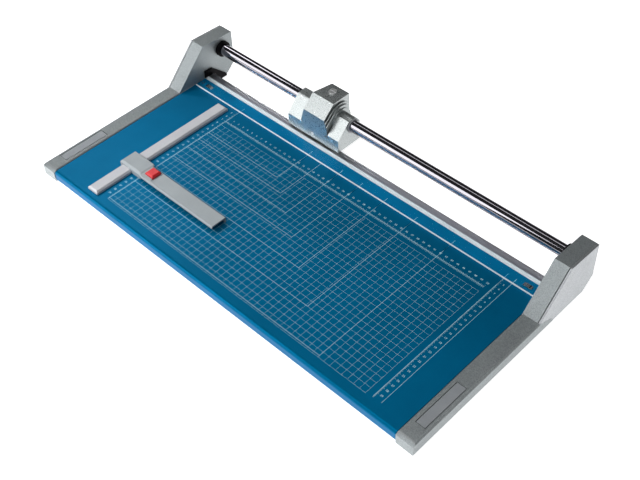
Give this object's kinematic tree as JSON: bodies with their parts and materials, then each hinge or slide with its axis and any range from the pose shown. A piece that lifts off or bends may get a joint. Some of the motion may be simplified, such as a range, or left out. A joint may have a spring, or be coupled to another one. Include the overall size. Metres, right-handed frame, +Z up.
{
  "type": "rotary paper trimmer",
  "caption": "Rotary paper trimmer: gridded metal table between cast sides, cutting head on a round guide rod, clear clamp strip and sliding backstop with a lock button.",
  "frame": {"origin": "middle of the footprint, on the desk", "axes": "+X along the cut, +Y away from the user towards the guide rod, +Z up"},
  "size_m": [0.724, 0.364, 0.0928],
  "materials": {
    "blue_sheet": "satin powder coat",
    "zinc_steel": "zinc plated",
    "ground_steel": "ground",
    "clear_plastic": "clear",
    "clear_cap": "clear",
    "silver_casting": "fine hammer finish",
    "silver_cover": "fine hammer finish",
    "grey_inlay": "satin",
    "black_plastic": "satin",
    "rubber": "matte",
    "chrome_rod": "polished",
    "spring_steel": "bright",
    "light_grey_plastic": "satin",
    "grey_plastic": "satin",
    "bush_grey": "glossy",
    "white_plastic": "glossy",
    "blade_steel": "ground edge",
    "red_plastic": "glossy"
  },
  "bodies": {
    "table": {"table_board": "blue_sheet", "front_cross_channel": "zinc_steel", "rear_cross_channel": "zinc_steel", "cutter_bar": "ground_steel", "cutter_bar_screws": "zinc_steel", "board_screws": "zinc_steel", "left_side_casting": "silver_casting", "right_side_casting": "silver_casting", "left_outer_cover": "silver_cover", "right_outer_cover": "silver_cover", "left_rail_inlay": "grey_inlay", "right_rail_inlay": "grey_inlay", "left_end_plate": "black_plastic", "right_end_plate": "black_plastic", "rubber_feet": "rubber", "guide_rod": "chrome_rod", "rod_end_bolts": "zinc_steel", "rod_end_washers": "zinc_steel", "left_buffer_ring": "rubber", "right_buffer_ring": "rubber", "strip_guide_pins": "clear_cap", "strip_springs": "spring_steel", "backstop_rail": "light_grey_plastic", "backstop_rail_screws": "zinc_steel"},
    "clamp_strip": {"clamp_strip": "clear_plastic"},
    "head": {"head_housing": "silver_casting", "head_chassis": "zinc_steel", "left_slide_bush": "black_plastic", "right_slide_bush": "bush_grey", "top_screw": "zinc_steel", "index_pin": "white_plastic", "chassis_screws": "zinc_steel", "blade_axle": "ground_steel", "axle_nut": "zinc_steel", "spring_washer": "spring_steel", "roller_pins": "ground_steel"},
    "blade": {"cutting_blade": "blade_steel", "blade_hub": "black_plastic"},
    "left_roller": {"left_pressure_roller": "white_plastic"},
    "right_roller": {"right_pressure_roller": "white_plastic"},
    "arm": {"arm_slider": "grey_plastic", "brake_shoe": "rubber", "arm_bar": "grey_plastic", "arm_screws": "zinc_steel", "button_spring": "spring_steel"},
    "button": {"lock_button": "red_plastic"}
  },
  "joints": [
    {"name": "strip_press", "type": "slide", "parent": "table", "child": "clamp_strip", "axis": [0, 0, 1], "range_m": [-0.0012, 0], "stiffness_N_per_m": 900, "springref_m": 0.003, "deforming": ["strip_springs"]},
    {"name": "head_slide", "type": "slide", "parent": "table", "child": "head", "axis": [1, 0, 0], "range_m": [-0.1755, 0.3735]},
    {"name": "blade_spin", "type": "hinge", "parent": "head", "child": "blade", "pos_m": [-0.098, 0.1361, 0.038], "axis": [0, 1, 0], "continuous": true},
    {"name": "left_roller_spin", "type": "hinge", "parent": "head", "child": "left_roller", "pos_m": [-0.136, 0.131, 0.0318], "axis": [0, 1, 0], "continuous": true},
    {"name": "right_roller_spin", "type": "hinge", "parent": "head", "child": "right_roller", "pos_m": [-0.06, 0.131, 0.0318], "axis": [0, 1, 0], "continuous": true},
    {"name": "arm_slide", "type": "slide", "parent": "table", "child": "arm", "axis": [0, 1, 0], "range_m": [-0.062, 0.16]},
    {"name": "button_press", "type": "slide", "parent": "arm", "child": "button", "axis": [0, 0, -1], "range_m": [0, 0.0015], "stiffness_N_per_m": 500, "springref_m": -0.002, "deforming": ["button_spring"]}
  ],
  "couplings": [
    {"joint": "blade_spin", "follows": "head_slide", "rad_per_m": 52.632},
    {"joint": "left_roller_spin", "follows": "head_slide", "rad_per_m": 166.67},
    {"joint": "right_roller_spin", "follows": "head_slide", "rad_per_m": 166.67}
  ]
}
